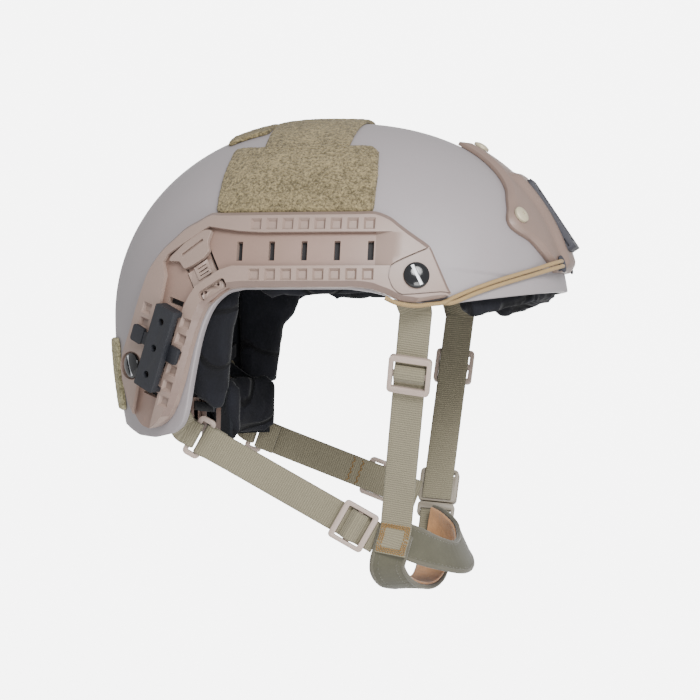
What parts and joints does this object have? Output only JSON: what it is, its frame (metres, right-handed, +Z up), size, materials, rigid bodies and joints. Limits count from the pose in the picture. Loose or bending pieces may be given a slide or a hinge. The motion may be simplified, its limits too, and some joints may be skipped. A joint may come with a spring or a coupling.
{
  "type": "combat helmet",
  "caption": "High cut combat helmet with side accessory rails, front mounting shroud, loop patches, padded liner, nape fit dial and four point chin harness.",
  "frame": {"origin": "middle of the head opening at the height of the brow rim, on the helmet's middle plane", "axes": "+X forward out of the brow, +Y to the wearer's left, +Z up out of the crown"},
  "size_m": [0.2903, 0.2494, 0.2905],
  "materials": {
    "shell_paint": "matt tan paint with a fine orange peel over a moulded aramid laminate",
    "loop_patch": "fuzzy khaki loop fabric",
    "rail_plastic": "fine satin tan nylon",
    "bolt_black": "polished black",
    "nut_steel": "blackened",
    "black_plastic": "satin black",
    "insert_black": "satin black",
    "buckle_plastic": "satin tan",
    "screw_khaki": "khaki coated",
    "elastic_cord": "braided tan elastic",
    "pad_fabric": "black brushed knit over foam",
    "nape_plastic": "satin brown tan",
    "webbing": "ribbed khaki tape",
    "slider_plastic": "satin sand",
    "chin_fabric": "grey olive tape",
    "suede": "raw orange brown suede"
  },
  "bodies": {
    "helmet": {"shell": "shell_paint", "crown_patch": "loop_patch", "back_crown_patch": "loop_patch", "side_patch_right": "loop_patch", "side_patch_left": "loop_patch", "nape_patch": "loop_patch", "rail_right": "rail_plastic", "rail_left": "rail_plastic", "rail_bolts": "bolt_black", "rail_nuts": "nut_steel", "shroud_frame": "rail_plastic", "shroud_insert": "insert_black", "shroud_screws": "screw_khaki", "shroud_nuts": "nut_steel", "cord_eyelets": "black_plastic", "elastic_right": "elastic_cord", "elastic_left": "elastic_cord", "brow_pad": "pad_fabric", "crown_pad": "pad_fabric", "temple_pad_right": "pad_fabric", "temple_pad_left": "pad_fabric", "rear_side_pad_right": "pad_fabric", "rear_side_pad_left": "pad_fabric", "back_pad": "pad_fabric", "nape_pad": "pad_fabric", "nape_cradle": "nape_plastic", "dial_housing": "nape_plastic", "front_strap_right": "webbing", "front_strap_left": "webbing", "rear_strap_right": "webbing", "rear_strap_left": "webbing", "nape_ring_right": "slider_plastic", "nape_ring_left": "slider_plastic", "nape_web_right": "webbing", "nape_web_left": "webbing", "chin_band": "chin_fabric", "chin_sling": "chin_fabric", "chin_lining": "suede", "chin_tab": "webbing", "buckle_socket": "buckle_plastic", "buckle_plug": "buckle_plastic"},
    "gate_right": {"corner_gate_right": "rail_plastic"},
    "gate_left": {"corner_gate_left": "rail_plastic"},
    "adapter_right": {"adapter_plate_right": "black_plastic"},
    "adapter_left": {"adapter_plate_left": "black_plastic"},
    "wing_right": {"wing_lock_right": "black_plastic"},
    "wing_left": {"wing_lock_left": "black_plastic"},
    "front_slide_right": {"front_slider_right": "slider_plastic", "front_loop_right": "webbing"},
    "front_slide_left": {"front_slider_left": "slider_plastic", "front_loop_left": "webbing"},
    "rear_slide_right": {"rear_slider_right": "slider_plastic", "rear_loop_right": "webbing"},
    "rear_slide_left": {"rear_slider_left": "slider_plastic", "rear_loop_left": "webbing"},
    "dial": {"dial_knob": "black_plastic"},
    "band_right": {"fit_band_right": "nape_plastic"},
    "band_left": {"fit_band_left": "nape_plastic"}
  },
  "joints": [
    {"name": "gate_slide_right", "type": "slide", "parent": "helmet", "child": "gate_right", "axis": [0.4152, -0.3582, -0.8362], "range_m": [0, 0.002]},
    {"name": "gate_slide_left", "type": "slide", "parent": "helmet", "child": "gate_left", "axis": [0.4152, 0.3582, -0.8362], "range_m": [0, 0.002]},
    {"name": "adapter_slide_right", "type": "slide", "parent": "helmet", "child": "adapter_right", "axis": [0.3346, -0.2297, 0.9139], "range_m": [-0.006, 0.006]},
    {"name": "adapter_slide_left", "type": "slide", "parent": "helmet", "child": "adapter_left", "axis": [0.3346, 0.2297, 0.9139], "range_m": [-0.006, 0.006]},
    {"name": "wing_turn_right", "type": "hinge", "parent": "adapter_right", "child": "wing_right", "pos_m": [-0.0845, -0.09994, -0.0316], "axis": [0.487, 0.8724, 0.041], "range_deg": [0, 90]},
    {"name": "wing_turn_left", "type": "hinge", "parent": "adapter_left", "child": "wing_left", "pos_m": [-0.0845, 0.09994, -0.0316], "axis": [-0.487, 0.8724, -0.041], "range_deg": [0, 90]},
    {"name": "front_slider_right_slide", "type": "slide", "parent": "helmet", "child": "front_slide_right", "axis": [0.1345, -0.3341, 0.9329], "range_m": [-0.07, 0.012]},
    {"name": "front_slider_left_slide", "type": "slide", "parent": "helmet", "child": "front_slide_left", "axis": [0.0786, 0.3457, 0.935], "range_m": [-0.055, 0.01]},
    {"name": "rear_slider_right_slide", "type": "slide", "parent": "helmet", "child": "rear_slide_right", "axis": [-0.8656, -0.095, 0.4916], "range_m": [0, 0.055]},
    {"name": "rear_slider_left_slide", "type": "slide", "parent": "helmet", "child": "rear_slide_left", "axis": [-0.9374, 0.041, 0.3458], "range_m": [-0.008, 0.05]},
    {"name": "dial_turn", "type": "hinge", "parent": "helmet", "child": "dial", "pos_m": [-0.022, 0, -0.076], "axis": [-1, 0, 0], "range_deg": [-120, 120]},
    {"name": "band_turn_right", "type": "hinge", "parent": "helmet", "child": "band_right", "pos_m": [-0.022, 0, 0], "axis": [0, 0, 1], "range_deg": [-6.23, 6.23]},
    {"name": "band_turn_left", "type": "hinge", "parent": "helmet", "child": "band_left", "pos_m": [-0.022, 0, 0], "axis": [0, 0, 1], "range_deg": [-6.23, 6.23]}
  ],
  "couplings": [
    {"joint": "band_turn_right", "follows": "dial_turn", "ratio": -0.0515},
    {"joint": "band_turn_left", "follows": "dial_turn", "ratio": 0.0515}
  ]
}
